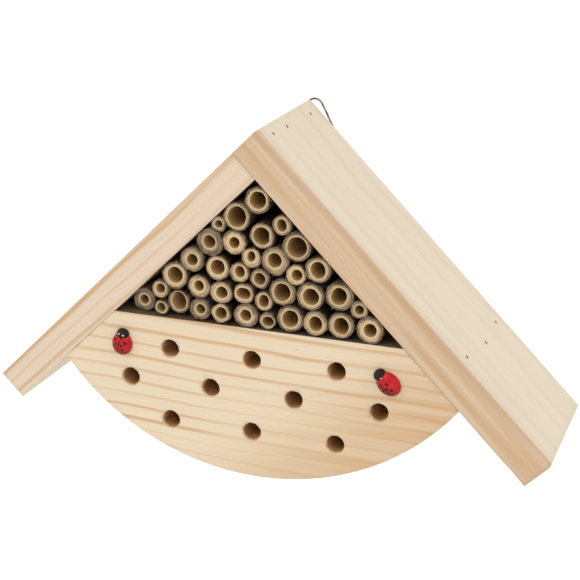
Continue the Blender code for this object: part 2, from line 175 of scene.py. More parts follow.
class Shader:
    """A new material's node tree, with short ways to add to it."""

    def __init__(self, name, specular=0.4):
        self.material = bpy.data.materials.new(name)
        self.material.use_nodes = True
        self.tree = self.material.node_tree
        self.surface = self.tree.nodes["Principled BSDF"]
        self.feed(self.surface.inputs["Specular IOR Level"], specular)
        place = self.add("ShaderNodeTexCoord")
        self.point = place.outputs["Object"]
        self.normal = place.outputs["Normal"]

    def feed(self, socket, value):
        if isinstance(value, bpy.types.NodeSocket):
            self.tree.links.new(value, socket)
        elif socket.type == "RGBA":
            socket.default_value = (*value, 1.0)
        else:
            socket.default_value = value

    def add(self, kind, inputs=None, **settings):
        node = self.tree.nodes.new(kind)
        for key, value in settings.items():
            setattr(node, key, value)
        for key, value in (inputs or {}).items():
            self.feed(node.inputs[key], value)
        return node

    def math(self, operation, *values):
        inputs = dict(enumerate(values))
        return self.add("ShaderNodeMath", inputs, operation=operation).outputs[0]

    def times(self, value, factor):
        return self.math("MULTIPLY", value, factor)

    def scaled(self, value, factor, base):
        """A value times a factor, added to a base."""
        return self.math("MULTIPLY_ADD", value, factor, base)

    def vary(self, value, noise, amount):
        """A value pushed up and down by up to half an amount of noise."""
        return self.scaled(noise, amount, self.math("SUBTRACT", value, amount / 2))

    def vector(self, operation, *values):
        inputs = dict(enumerate(values))
        return self.add("ShaderNodeVectorMath", inputs, operation=operation).outputs

    def axis(self, vector, name):
        return self.add("ShaderNodeSeparateXYZ", {0: vector}).outputs[name]

    def noise(self, scale, detail=2.0, offset=0.0):
        """Noise from 0 to 1 whose grains are about 1/scale metres along each axis."""
        place = {"Vector": self.point, "Location": (offset, offset, offset), "Scale": scale}
        stretched = self.add("ShaderNodeMapping", place)
        inputs = {"Vector": stretched.outputs[0], "Scale": 1.0, "Detail": detail}
        return self.add("ShaderNodeTexNoise", inputs).outputs[0]

    def fade(self, value, low, high, to_low=0.0, to_high=1.0):
        """A value eased from to_low, where it is low, to to_high, where it is high."""
        inputs = {0: value, 1: low, 2: high, 3: to_low, 4: to_high}
        node = self.add("ShaderNodeMapRange", inputs, interpolation_type="SMOOTHSTEP")
        return node.outputs[0]

    def mix(self, factor, first, second, blend="MIX"):
        inputs = {0: factor, 6: first, 7: second}
        return self.add("ShaderNodeMix", inputs, data_type="RGBA", blend_type=blend).outputs[2]

    def ramp(self, value, stops):
        """A colour ramp over stops of (place, colour)."""
        node = self.add("ShaderNodeValToRGB", {0: value})
        elements = node.color_ramp.elements
        while len(elements) < len(stops):
            elements.new(0.5)
        for element, (place, colour) in zip(elements, stops):
            element.position = place
            element.color = (*colour, 1.0)
        return node.outputs[0]

    def shade(self, colour, factor):
        """A colour made darker or lighter by a factor."""
        grey = self.add("ShaderNodeCombineColor", {0: factor, 1: factor, 2: factor}).outputs[0]
        return self.mix(1.0, colour, grey, "MULTIPLY")

    def attribute(self, name):
        return self.add("ShaderNodeAttribute", attribute_name=name).outputs["Fac"]

    def finish(self, colour, roughness, height=0.0, depth=0.0):
        """The material, with its bumps from a height of 0 to 1 as deep as depth."""
        self.feed(self.surface.inputs["Base Color"], colour)
        self.feed(self.surface.inputs["Roughness"], roughness)
        if depth:
            bump = self.add("ShaderNodeBump", {"Height": height, "Distance": depth})
            self.feed(self.surface.inputs["Normal"], bump.outputs[0])
        return self.material


BLUSH_TINT = (1.0, 0.97, 0.965)  # of the redder patches between the rings
LATE_WOOD = srgb(198, 152, 98)
END_WOOD = srgb(196, 168, 132)
# the dark brown of the painted shade on faces that look up, such as the block's top
PAINTED_SHADE_WOOD = srgb(58, 44, 28)
RING_WANDER = 8 * MM
RING_RIPPLE = 1.4 * MM
HEART_WANDER = 4 * MM


def growth_rings(s, wander, pith, ring_width, seed, slope, crowding):
    """The share of dark late wood in yearly rings round a far pith line along X. Each
    ring's width and darkness come from chance, and it fades here and there."""
    offset = s.vector("MULTIPLY_ADD", s.point, (0.0, 1.0, 1.0), (0.0, -pith[0], -pith[1]))
    distance = s.vector("LENGTH", offset["Vector"])["Value"]
    distance = s.scaled(wander, RING_WANDER, distance)
    distance = s.scaled(s.noise((34, 110, 110), 1.0, seed + 3), RING_RIPPLE, distance)
    distance = s.scaled(s.axis(s.point, "X"), slope, distance)
    reach = math.hypot(*pith)
    crowded = s.math("POWER", s.math("DIVIDE", distance, reach), crowding)
    cycle = s.times(crowded, reach / (crowding * ring_width))
    phase = s.math("FRACT", cycle)
    year = s.math("ADD", s.math("FLOOR", cycle), seed)
    chance = s.add("ShaderNodeTexWhiteNoise", {"W": year}, noise_dimensions="1D").outputs["Value"]
    start = s.scaled(chance, -0.22, 0.8)
    band = s.fade(s.math("SUBTRACT", phase, start), 0.0, 0.2)
    band = s.times(band, s.fade(phase, 1.0, 0.94))
    taper = s.fade(s.noise((14, 60, 60), 1.0, seed + 9), 0.3, 0.55, 0.35, 1.0)
    return s.times(band, s.times(s.scaled(chance, 0.5, 0.5), taper))


def pine(
    name, pith, ring_width, contrast, seed, early, heart, slope=0.0, crowding=1.0, painted_top_shade=0.0
):
    """Planed pine with its grain along X: growth rings, fibres, resin canals and sawn
    end grain. early is the colour between the rings. heart is (direction, from, to,
    colour): the wood turns to that colour between two distances along the direction.
    slope is how fast the rings climb out of the board along X. crowding below 1 brings
    the rings nearer the pith closer together. The top shade argument is painted shade: it
    darkens the faces that look up along Z."""
    s = Shader(name, specular=0.3)
    slow = s.noise((9, 22, 22), 1.0, seed)
    band = growth_rings(s, slow, pith, ring_width, seed, slope, crowding)
    fibre = s.noise((30, 950, 950), 3.0, seed)
    hair = s.noise((70, 2800, 2800), 2.0, seed)
    canal = s.fade(s.noise((130, 1500, 1500), 1.0, seed + 5), 0.67, 0.74)
    blush = s.fade(s.noise((8, 45, 45), 2.0, seed + 7), 0.35, 0.65)

    direction, near, far, heart_colour = heart
    aside = s.vector("DOT_PRODUCT", s.point, direction)["Value"]
    edge = s.scaled(slow, HEART_WANDER, aside)
    middle = HEART_WANDER / 2
    streaks = s.fade(s.noise((10, 240, 240), 2.0, seed + 11), 0.25, 0.7, 0.5, 1.0)
    heart_share = s.times(s.fade(edge, near + middle, far + middle), streaks)
    colour = s.mix(blush, early, tuple(c * tint for c, tint in zip(early, BLUSH_TINT)))
    colour = s.mix(heart_share, colour, heart_colour)
    late = s.mix(0.35, LATE_WOOD, s.shade(colour, 0.78))
    colour = s.mix(s.times(band, contrast), colour, late)
    # Painted shade: faces that look up along Z turn dark brown, as the block's top lies in shade
    # under the tubes.
    stain_and_painted_shade = s.times(s.fade(s.axis(s.normal, "Z"), 0.8, 0.98), painted_top_shade)
    colour = s.mix(stain_and_painted_shade, colour, PAINTED_SHADE_WOOD)
    end = s.fade(s.math("ABSOLUTE", s.axis(s.normal, "X")), 0.72, 0.95)
    pores = s.noise((1900, 1900, 1900), 2.0, seed)
    saw = s.noise((1, 90, 1300), 2.0, seed)
    colour = s.mix(s.times(end, 0.4), colour, END_WOOD)
    light = s.vary(s.vary(1.0, fibre, 0.13), hair, 0.05)
    light = s.scaled(canal, -0.09, light)
    light = s.scaled(end, s.scaled(pores, 0.3, -0.16), light)
    light = s.scaled(s.attribute("worn"), -0.05, light)
    colour = s.shade(colour, light)

    height = s.scaled(band, 0.5, fibre)
    height = s.scaled(hair, 0.5, height)
    height = s.scaled(s.times(end, saw), 1.5, height)
    roughness = s.scaled(fibre, 0.14, s.scaled(band, -0.1, 0.52))
    return s.finish(colour, roughness, height, 0.09 * MM)


def drilled_wood(front):
    """The rough wall of a drilled hole: torn fibres and rings left by the bit. Painted
    shade darkens it the further it is behind the front plane."""
    s = Shader("drilled_wood", specular=0.2)
    torn = s.noise((350, 120, 350), 4.0)
    rings = s.noise((80, 2600, 80), 2.0)
    scorch = s.fade(s.noise((170, 45, 170), 2.0, 4.0), 0.35, 0.7)
    colour = s.mix(scorch, srgb(190, 148, 100), srgb(160, 114, 68))
    # Painted shade: pale at the hole's mouth, darker deeper in.
    mouth = s.fade(s.axis(s.point, "Y"), front + 0.1 * MM, front + 2.0 * MM)
    colour = s.mix(mouth, srgb(212, 186, 150), colour)
    colour = s.shade(colour, s.scaled(torn, 0.5, 0.76))
    height = s.scaled(rings, 0.6, torn)
    return s.finish(colour, s.fade(torn, 0.3, 0.7, 0.75, 0.95), height, 0.25 * MM)


def plywood():
    """The thin panel's veneer: broad rotary-cut figure, greyer and coarser than the boards."""
    s = Shader("plywood_veneer", specular=0.25)
    figure = s.noise((5, 200, 38), 2.0, 2.0)
    bands = s.fade(s.math("FRACT", s.times(figure, 6.0)), 0.2, 0.98)
    fibre = s.noise((40, 1300, 1300), 3.0)
    colour = s.mix(s.times(bands, 0.3), srgb(208, 182, 144), srgb(176, 142, 102))
    colour = s.shade(colour, s.scaled(fibre, 0.3, 0.85))
    height = s.scaled(bands, 0.3, fibre)
    return s.finish(colour, s.fade(fibre, 0.3, 0.7, 0.6, 0.8), height, 0.12 * MM)


def bamboo():
    """Cut bamboo. The layer attribute runs from -1 deep in the bore over 0 at its
    mouth and 1 at the bark's edge to 2 at the tube's far end. The colours along it carry
    painted shade deep in the bore and on the bark, and a painted highlight at the bore's lip."""
    s = Shader("bamboo", specular=0.3)
    layer = s.attribute("layer")
    tone = s.attribute("tone")
    blotch = s.noise((260, 60, 260), 3.0)
    ragged = s.noise((1000, 200, 1000), 2.0, 6.0)
    wander = s.vary(s.vary(layer, blotch, 0.3), ragged, 0.32)
    place = s.scaled(wander, 1 / 3, 1 / 3)
    # Painted shade: the colours darken deeper into the bore, and the bark's browns darken to near
    # black towards the far end, so the bores and the gaps between the tubes stay dark. The thin
    # light ring at the bore's lip is a painted highlight.
    stops = [
        (0.00, 142, 112, 66),
        (0.20, 172, 140, 90),
        (0.325, 184, 154, 106),
        (0.35, 208, 184, 142),
        (0.385, 190, 166, 126),
        (0.53, 178, 153, 115),
        (0.575, 152, 126, 94),
        (0.595, 94, 74, 52),
        (0.61, 94, 74, 52),
        (0.626, 138, 113, 84),
        (0.65, 106, 85, 62),
        (0.668, 56, 43, 30),
        (0.71, 38, 29, 20),
        (1.00, 26, 20, 14),
    ]
    layer_colours_and_painted_light = s.ramp(place, [(at, srgb(*colour)) for at, *colour in stops])
    bundles = s.fade(s.noise((1700, 500, 1700), 1.5, 3.0), 0.55, 0.68)
    cut = s.times(s.fade(layer, 0.1, 0.5), s.fade(layer, 1.05, 0.98))
    streaks = s.noise((900, 30, 900), 3.0)
    grey = s.mix(blotch, srgb(142, 122, 98), srgb(108, 92, 72))
    colour = s.mix(s.times(tone, s.fade(layer, 0.0, 0.5)), layer_colours_and_painted_light, grey)
    colour = s.shade(colour, s.attribute("light"))
    aside, up = [s.times(s.axis(s.point, name), 240.0) for name in ("X", "Z")]
    sheaths = s.add("ShaderNodeCombineXYZ", {0: s.times(layer, 3.6), 1: aside, 2: up}).outputs[0]
    settings = {"Vector": sheaths, "Scale": 1.0, "Detail": 2.0}
    sheath = s.add("ShaderNodeTexNoise", settings).outputs[0]
    sheath = s.times(s.fade(sheath, 0.5, 0.6), s.fade(layer, 0.15, 0.5))
    colour = s.shade(colour, s.scaled(sheath, -0.52, 1.08))
    light = s.vary(s.vary(1.0, streaks, 0.34), blotch, 0.2)
    light = s.math("SUBTRACT", light, s.times(s.times(bundles, cut), 0.32))
    colour = s.shade(colour, light)
    height = s.scaled(s.noise((1500, 900, 1500), 2.0), 0.8, streaks)
    return s.finish(colour, s.fade(streaks, 0.3, 0.7, 0.55, 0.8), height, 0.16 * MM)


PAINT_ROUGHNESS = 0.34
LADYBIRD_PAINTS = {  # each one's colour, and where it is thick
    "red": (srgb(196, 26, 34), srgb(170, 18, 28)),
    "black": (srgb(34, 22, 16), srgb(12, 8, 8)),
    "white": (srgb(232, 228, 222), srgb(214, 210, 204)),
    "maroon": (srgb(66, 10, 12), srgb(46, 8, 10)),
}


def paint(name, colour, deep):
    """Half-gloss brushed paint on turned wood, thin in places, with fine brush marks,
    and painted shade on the side that faces down and to the left."""
    s = Shader(name, specular=0.2)
    s.feed(s.surface.inputs["Coat Weight"], 0.05)
    s.feed(s.surface.inputs["Coat Roughness"], 0.15)
    pool = s.noise((420, 420, 420), 3.0)
    brush = s.noise((1600, 1600, 260), 2.0)
    mixed = s.mix(s.fade(pool, 0.3, 0.7), colour, deep)
    mixed = s.shade(mixed, s.scaled(brush, 0.2, 0.9))
    # Painted shade: darker on the side that faces down and to the left.
    facing = s.add("ShaderNodeNewGeometry").outputs["Normal"]
    toward_painted_shade = s.vector("DOT_PRODUCT", facing, PAINTED_SHADE_SIDE)["Value"]
    mixed = s.shade(mixed, s.fade(toward_painted_shade, -0.25, 0.75, 1.0, 0.3))
    height = s.scaled(pool, 0.8, brush)
    dull = s.fade(pool, 0.3, 0.7, PAINT_ROUGHNESS, PAINT_ROUGHNESS + 0.14)
    return s.finish(mixed, dull, height, 0.05 * MM)


def metal(name, colour, stain_and_painted_shade, roughness, cover=0.5):
    """Metal with drawn streaks, and a duller stain over a share of it, its cover."""
    s = Shader(name)
    patch = s.fade(s.noise((330, 330, 330), 4.0), 0.62 - cover / 4, 0.72 - cover / 4)
    grain = s.noise((3200, 900, 3200), 2.0)
    mixed = s.mix(patch, colour, stain_and_painted_shade)
    mixed = s.shade(mixed, s.scaled(grain, 0.3, 0.85))
    streaks = s.fade(grain, 0.3, 0.7, roughness - 0.05, roughness + 0.05)
    s.feed(s.surface.inputs["Metallic"], s.scaled(patch, -0.45, 1.0))
    height = s.scaled(patch, 0.6, grain)
    return s.finish(mixed, s.scaled(patch, 0.25, streaks), height, 0.03 * MM)


# Mesh helpers.

def add_object(name, data):
    made = bpy.data.objects.new(name, data)
    bpy.context.scene.collection.objects.link(made)
    return made


def new_piece(name, bm, materials, matrix=None):
    """A mesh object made of bm, shaded smooth with its real edges kept sharp."""
    mesh = bpy.data.meshes.new(name)
    bmesh.ops.recalc_face_normals(bm, faces=bm.faces)
    bm.normal_update()
    bm.to_mesh(mesh)
    bm.free()
    mesh.shade_smooth()
    mesh.set_sharp_from_angle(angle=SHARP_ANGLE)
    for material in materials:
        mesh.materials.append(material)
    piece = add_object(name, mesh)
    if matrix is not None:
        piece.matrix_world = matrix
    return piece


def place_piece(piece, body, node):
    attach(piece, body)
    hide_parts(node)


def span(node, direction):
    """How far a CAD node reaches along a direction: (lowest, highest)."""
    reach = [vertex.co.dot(direction) for vertex in frame["nodes"][node].data.vertices]
    return min(reach), max(reach)


def apply_modifiers(piece):
    bpy.context.view_layer.update()
    evaluated = piece.evaluated_get(bpy.context.evaluated_depsgraph_get())
    mesh = bpy.data.meshes.new_from_object(evaluated)
    piece.modifiers.clear()
    piece.data = mesh


def cut_out(piece, cutter):
    """Take a cutter object's shape out of a piece, and remove the cutter."""
    modifier = piece.modifiers.new("cut", "BOOLEAN")
    modifier.operation = "DIFFERENCE"
    modifier.solver = "EXACT"
    modifier.material_mode = "TRANSFER"
    modifier.object = cutter
    apply_modifiers(piece)
    bpy.data.objects.remove(cutter, do_unlink=True)


def turns_of(sides):
    """Even angles once round."""
    return [2 * math.pi * i / sides for i in range(sides)]


def spoke(turn):
    """The direction at an angle in the house's front plane, from +X towards +Z."""
    return Vector((math.cos(turn), 0, math.sin(turn)))


def rough_round(turn, size, place):
    """Noise that goes round a circle of a size, at a place along its axis."""
    return noise.noise(Vector((size * math.cos(turn), size * math.sin(turn), place)))


def add_skin(bm, rings, closed=False, capped=False):
    """Join rings of vertices, in order, with quads. closed joins the last to the first,
    and capped fills both."""
    count = len(rings[0])
    pairs = list(zip(rings, rings[1:]))
    if closed:
        pairs.append((rings[-1], rings[0]))
    for first, second in pairs:
        for i in range(count):
            j = (i + 1) % count
            bm.faces.new((first[i], first[j], second[j], second[i]))
    if capped:
        bm.faces.new(rings[0])
        bm.faces.new(rings[-1])


POINT_RADIUS = 0.02 * MM


def add_turned(bm, profile, sides, matrix=None, ragged=0.0, seed=0.0):
    """Turn (radius, height) points round Z into a closed skin with capped ends. A
    radius of 0 makes a tiny flat in place of a point."""
    matrix = matrix or Matrix.Identity(4)
    rings = []
    for radius, height in profile:
        ring = []
        for turn in turns_of(sides):
            rough = rough_round(turn, 3, height / MM * 0.6 + seed)
            reach = max(radius, POINT_RADIUS) + ragged * rough
            point = Vector((reach * math.cos(turn), reach * math.sin(turn), height))
            ring.append(bm.verts.new(matrix @ point))
        rings.append(ring)
    add_skin(bm, rings, capped=True)


def add_wire(bm, route, radius, sides=10, closed=False, taper=False):
    """A round wire of a radius along a route of points."""
    rings = []
    count = len(route)
    previous = None
    for i, point in enumerate(route):
        before = route[(i - 1) % count] if closed or i else point
        after = route[(i + 1) % count] if closed or i < count - 1 else point
        along = (after - before).normalized()
        if previous is None:
            across = along.orthogonal().normalized()
        else:
            across = (previous - along * previous.dot(along)).normalized()
        previous = across
        other = along.cross(across)
        reach = radius * (1 - 0.75 * i / (count - 1)) if taper else radius
        ring = []
        for turn in turns_of(sides):
            offset = across * math.cos(turn) + other * math.sin(turn)
            ring.append(bm.verts.new(point + offset * reach))
        rings.append(ring)
    add_skin(bm, rings, closed, capped=not closed)
    return [vertex for ring in rings for vertex in ring]


# Sawn wood.

def add_prism(bm, outline, front, back):
    """A solid of an (x, z) outline between two depths along Y."""
    near = [bm.verts.new((x, front, z)) for x, z in outline]
    far = [bm.verts.new((x, back, z)) for x, z in outline]
    bm.faces.new(near)
    bm.faces.new(far)
    for i in range(len(outline)):
        j = (i + 1) % len(outline)
        bm.faces.new((near[i], near[j], far[j], far[i]))
    bmesh.ops.recalc_face_normals(bm, faces=bm.faces)


def slice_cells(bm, cell):
    """Cut a solid by evenly spaced planes along each axis, so that it can wave."""
    for axis in range(3):
        reach = [vertex.co[axis] for vertex in bm.verts]
        low, high = min(reach), max(reach)
        count = max(1, round((high - low) / cell))
        normal = Vector([float(i == axis) for i in range(3)])
        for i in range(1, count):
            geometry = [*bm.verts, *bm.edges, *bm.faces]
            place = normal * (low + (high - low) * i / count)
            bmesh.ops.bisect_plane(bm, geom=geometry, plane_co=place, plane_no=normal)
    wide = [face for face in bm.faces if len(face.verts) > 4]
    bmesh.ops.triangulate(bm, faces=wide)


def wear_surface(bm, rounding, seed):
    """Let faces wave a little, and knock the rounded edges back here and there."""
    worn = bm.verts.layers.float.new("worn")
    bm.normal_update()
    for vertex in bm.verts:
        spot = vertex.co + Vector((seed, seed, seed))
        push = FACE_WAVE * noise.noise(spot * 35)
        if any(face[rounding] for face in vertex.link_faces):
            knock = max(0.0, noise.noise(spot * 120) - 0.28) * 1.4
            fuzz = 0.5 + 0.5 * noise.noise(spot * 700)
            push -= EDGE_WEAR * knock + 0.06 * MM * fuzz
            vertex[worn] = 1.0
        vertex.co += vertex.normal * push


def sawn_piece(name, outline, depths, material, seed, matrix=None, rounded=EDGE_ROUNDING):
    """A board or block of an (x, z) outline between two depths, with worn edges."""
    bm = bmesh.new()
    add_prism(bm, outline, *depths)
    sharp = [edge for edge in bm.edges if edge.calc_face_angle(0) > SHARP_ANGLE]
    rounding = bm.faces.layers.int.new("rounding")
    made = bmesh.ops.bevel(bm, geom=sharp, offset=rounded, segments=3, profile=0.5, affect="EDGES")
    for face in made["faces"]:
        face[rounding] = 1
    slice_cells(bm, WOOD_CELL)
    wear_surface(bm, rounding, seed)
    return new_piece(name, bm, [material], matrix)


def brad_frame(node):
    """A placement at the middle of a brad's head, Z out of the roof."""
    side = -1 if node.startswith("left") else 1
    tilt = Matrix.Rotation(side * PITCH, 4, "Y")
    out = tilt @ UP
    vertices = [vertex.co for vertex in frame["nodes"][node].data.vertices]
    top = max(point.dot(out) for point in vertices)
    head = [point for point in vertices if point.dot(out) > top - 0.01 * MM]
    middle = sum(head, Vector()) / len(head)
    return Matrix.Translation(middle) @ tilt


def brad_cutter(nodes):
    """Holes round brads, with a torn mouth where each head was driven below the face."""
    recess = BRAD_HEAD_RADIUS + BRAD_RECESS
    shank = BRAD_RADIUS + TOOL_CLEARANCE
    profile = [
        (recess + BRAD_TEAR, 1.2 * MM),
        (recess + BRAD_TEAR - 0.02 * MM, 0.42 * MM),
        (recess, 0.25 * MM),
        (recess, -BRAD_HEAD_DEPTH),
        (shank, -BRAD_HEAD_DEPTH),
        (shank, -BRAD_LENGTH - TOOL_CLEARANCE),
    ]
    bm = bmesh.new()
    for number, node in enumerate(nodes):
        add_turned(bm, profile, 20, brad_frame(node), 0.08 * MM, 7.3 * number)
    return new_piece("brad_cutter", bm, [DRILLED])


def screw_frame():
    """A placement on the screw's axis at its head's underside, Z out of the wood."""
    low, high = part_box("hanger_screw")
    middle = (low + high) / 2
    point = Vector((middle.x, high.y - SCREW_HEAD_HEIGHT, middle.z))
    return Matrix.Translation(point) @ Matrix.Rotation(-math.pi / 2, 4, "X")


def screw_cutter():
    bm = bmesh.new()
    radius = SCREW_RADIUS + TOOL_CLEARANCE
    profile = [(radius, 2 * MM), (radius, -SCREW_LENGTH - TOOL_CLEARANCE)]
    add_turned(bm, profile, 24, screw_frame())
    return new_piece("screw_cutter", bm, [DRILLED])


def corner_nick(place):
    """A splintered dent, for a board's corner."""
    bm = bmesh.new()
    bmesh.ops.create_icosphere(bm, subdivisions=3, radius=1)
    for vertex in bm.verts:
        rough = 1 + 0.35 * noise.noise(vertex.co * 2.5)
        dent = [c * rough * size for c, size in zip(vertex.co, CORNER_DENT)]
        vertex.co = place @ Vector(dent)
    return new_piece("corner_nick", bm, [DRILLED])


def brads_named(*starts):
    return [name for name in sorted(frame["nodes"]) if "brad" in name and name.startswith(starts)]


def make_board(node, side, seed, material, brads, with_screw=False):
    """A roof board in its own frame: X along the slope's run, Z out of the roof."""
    tilt = Matrix.Rotation(side * PITCH, 4, "Y")
    (start, end), (under, top) = span(node, tilt @ RIGHT), span(node, tilt @ UP)
    low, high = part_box(node)
    under -= SEAM_CLOSING
    outline = [(start, under), (end, under), (end, top), (start, top)]
    board = sawn_piece(node + "_wood", outline, (low.y, high.y), material, seed, tilt)
    cut_out(board, brad_cutter(brads))
    if with_screw:
        cut_out(board, screw_cutter())
        corner = Vector((end, low.y, top))
        cut_out(board, corner_nick(tilt @ Matrix.Translation(corner)))
    place_piece(board, HOUSE, node)


def nest_drill(centre, front, seed):
    """One drilled nest hole: a rough bore with a torn mouth and a blunt point."""
    bm = bmesh.new()
    radius = NEST_HOLE_RADIUS
    profile = [
        (radius + MOUTH_TEAR, 1.5 * MM),
        (radius + MOUTH_TEAR * 0.8, 0.0),
        (radius + MOUTH_TEAR * 0.3, -0.35 * MM),
        (radius, -MOUTH_DEPTH),
    ]
    steps = 16
    step = (NEST_HOLE_DEPTH - MOUTH_DEPTH) / steps
    profile += [(radius, -MOUTH_DEPTH - step * i) for i in range(1, steps + 1)]
    profile.append((0.0, -NEST_HOLE_DEPTH - DRILL_POINT))
    middle = Vector((centre.x, front, centre.z))
    place = Matrix.Translation(middle) @ Matrix.Rotation(math.pi / 2, 4, "X")
    add_turned(bm, profile, 56, place, 0.22 * MM, seed)
    torn = middle + spoke(seed * 2.3) * radius
    for vertex in bm.verts:
        near = (vertex.co - torn).length / TEAR_REACH
        if vertex.co.y < front + 1.2 * MM and near < 1:
            outward = vertex.co - middle
            outward.y = 0
            push = MOUTH_TEAR * (1 - near) * (0.5 + noise.noise(vertex.co * 900))
            vertex.co += outward.normalized() * push
    return new_piece("nest_drill", bm, [DRILLED])


def make_block():
    node = "drilled_block"
    low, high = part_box(node)
    flat = [Vector((v.co.x, v.co.z)) for v in frame["nodes"][node].data.vertices]
    outline = [flat[i] for i in convex_hull_2d(flat)]
    name = node + "_wood"
    block = sawn_piece(name, outline, (low.y, high.y), BLOCK_PINE, 4.1, rounded=BLOCK_ROUNDING)
    openings = frame["record"]["physics"]["openings"]
    holes = [opening for opening in openings if opening["name"].startswith("nest_hole")]
    for number, opening in enumerate(holes):
        first, second = (Vector(corner) for corner in opening["box_m"])
        cut_out(block, nest_drill((first + second) / 2, low.y, 1.7 * number))
    cut_out(block, brad_cutter(brads_named("left_block", "right_block")))
    place_piece(block, HOUSE, node)


def make_panel():
    node = "back_panel"
    low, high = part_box(node)
    outline = [(low.x, low.z), (high.x, low.z), ((low.x + high.x) / 2, high.z)]
    panel = sawn_piece(node + "_veneer", outline, (low.y, high.y), plywood(), 9.6)
    place_piece(panel, HOUSE, node)


# Bamboo tubes.

# The tubes' tones in their order, from 0, pale, to 1, grey, and what else sets single
# tubes apart from chance. bark is the bark's share of the wall. square and flat shape
# the outline or the bore, and oval makes the bore taller, or wider where it is below 0.
# shift moves the bore, in mm.
TUBE_TONES = [
    0.05, 0.2, 0.55, 0.1, 0.35, 0.75, 0.0, 0.35, 0.1, 0.55, 0.35, 0.0, 0.3, 0.45, 0.0, 0.3,
    0.15, 0.05, 0.3, 0.3, 0.45, 0.15, 0.4, 0.4, 1.0, 0.45, 0.5, 0.8, 0.1, 0.5, 0.4, 0.45,
    0.35, 0.2, 0.25, 0.5, 0.1,
]
TUBE_TRAITS = {
    1: dict(bark=0.34, shift=(0.3, 0.2)),
    2: dict(bark=0.25, oval=0.05),
    3: dict(square=0.05),
    4: dict(flat=0.0, bark=0.2),
    5: dict(oval=0.11),
    6: dict(bark=0.55, shift=(-0.1, 0.4), splinters=14),
    7: dict(oval=0.03),
    8: dict(bark=0.4),
    9: dict(square=0.03, oval=0.13, shift=(0.0, 0.8)),
    10: dict(shift=(-0.2, 0.45), square=0.02),
    11: dict(bark=0.2),
    12: dict(shift=(0.0, 0.5), bark=0.2),
    13: dict(oval=0.08, shift=(0.2, 0.4)),
    14: dict(square=0.04, bark=0.25),
    15: dict(shift=(0.5, 0.0)),
    16: dict(bark=0.3, oval=0.06),
    17: dict(bark=0.25, shift=(0.1, 0.4)),
    18: dict(bark=0.15, shift=(0.0, 0.5)),
    19: dict(shift=(0.4, 0.1)),
    20: dict(oval=-0.12, square=0.03),
    21: dict(bark=0.3, oval=0.04),
    22: dict(bark=0.3, shift=(0.3, -0.2)),
    23: dict(bark=0.3, oval=0.065),
    24: dict(shift=(0.2, 0.4)),
    26: dict(bark=0.4, oval=0.11, shift=(0.2, 0.3)),
    27: dict(square=0.03),
    28: dict(plug=True, bark=0.3, shift=(0.3, 0.1)),
    29: dict(square=0.06),
    30: dict(bark=0.25),
    31: dict(oval=0.12),
    32: dict(oval=-0.08, square=0.04, shift=(0.3, -0.2)),
    33: dict(bark=0.3, oval=0.05),
    34: dict(oval=0.06, splinters=10),
    35: dict(bark=0.2, oval=0.06),
    36: dict(square=0.03, splinters=12),
    37: dict(bark=0.2, shift=(0.15, 0.2)),
}


class Tube:
    """The shape of one tube: where its bark, bore and cut end are at each angle."""

    def __init__(self, node, traits, rng):
        low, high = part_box(node)
        middle = (low + high) / 2
        self.centre = Vector((middle.x, 0, middle.z))
        self.front, self.back = low.y, high.y
        self.radius = (high.x - low.x) / 2 + BARK_SWELL
        flat = [Vector((v.co.x, 0, v.co.z)) for v in frame["nodes"][node].data.vertices]
        self.bore = min((point - self.centre).length for point in flat)
        self.wall = self.radius - self.bore
        self.traits = traits
        self.bark = traits.get("bark", 0.1)
        self.phases = [rng.uniform(0, 2 * math.pi) for _ in range(8)]
        self.seed = rng.uniform(0, 100)
        self.lobes = [0.0, 0.0, rng.uniform(0.004, 0.018), rng.uniform(0.003, 0.012)]
        self.lobes += [traits.get("square", rng.uniform(0.0, 0.012)), rng.uniform(0.0, 0.006)]
        self.tilt = rng.uniform(0.0, 0.035)
        self.lean = rng.uniform(-0.35, 0.35)
        shift = traits.get("shift", (rng.uniform(-0.2, 0.2), rng.uniform(-0.2, 0.2)))
        self.shift = Vector((shift[0], 0, shift[1])) * MM

    def bark_point(self, turn):
        reach = 1.0
        for order, size in enumerate(self.lobes):
            reach += size * math.cos(order * turn + self.phases[order])
        reach += 0.022 * rough_round(turn, 2.2, self.seed)
        reach += 0.042 * rough_round(turn, 11, self.seed * 5)
        return self.centre + spoke(turn) * self.radius * reach

    def bore_point(self, turn):
        oval = self.traits.get("oval", 0.02)
        reach = self.bore * (1 - oval * math.cos(2 * (turn - self.lean)))
        if "flat" in self.traits:
            facing = math.cos(turn - self.traits["flat"])
            reach = min(reach, self.bore * 0.88 / max(facing, 0.1))
        reach *= 1 + 0.03 * rough_round(turn, 2, self.seed + 50)
        return self.centre + self.shift + spoke(turn) * reach

    def cut_depth(self, turn, share):
        """How far the cut end stands back at an angle and a share of the wall, 0 at
        the bore and 1 at the bark: tilted, rough, chipped at the rim."""
        radius = self.bore + self.wall * share
        depth = self.tilt * radius * (1 + math.cos(turn - self.phases[7]))
        spot = Vector((math.cos(turn), math.sin(turn), 0)) * radius / MM
        spot.z = self.seed
        depth += 0.12 * MM * noise.noise(spot * 0.7) + 0.12 * MM * noise.noise(spot * 2.6)
        rim = max(0.0, (share - 0.8) / 0.2)
        chip = max(0.0, rough_round(turn, 3, self.seed + 9))
        depth += rim**2 * (0.3 + 2.0 * chip) * MM
        lip = max(0.0, (0.15 - share) / 0.15)
        depth += lip**2 * 0.2 * MM
        if self.bark > THICK_BARK:
            seam = (share - (1 - self.bark)) / 0.06
            depth += 0.22 * MM * math.exp(-seam * seam)
            if share > 1 - self.bark:
                depth += 0.1 * MM
        return depth

    def layer(self, share):
        """The material's layer at a share of the wall. The bark takes its own share."""
        wood = 1 - self.bark
        if share < wood:
            return BARK_LAYER * share / wood
        return BARK_LAYER + (1 - BARK_LAYER) * (share - wood) / self.bark


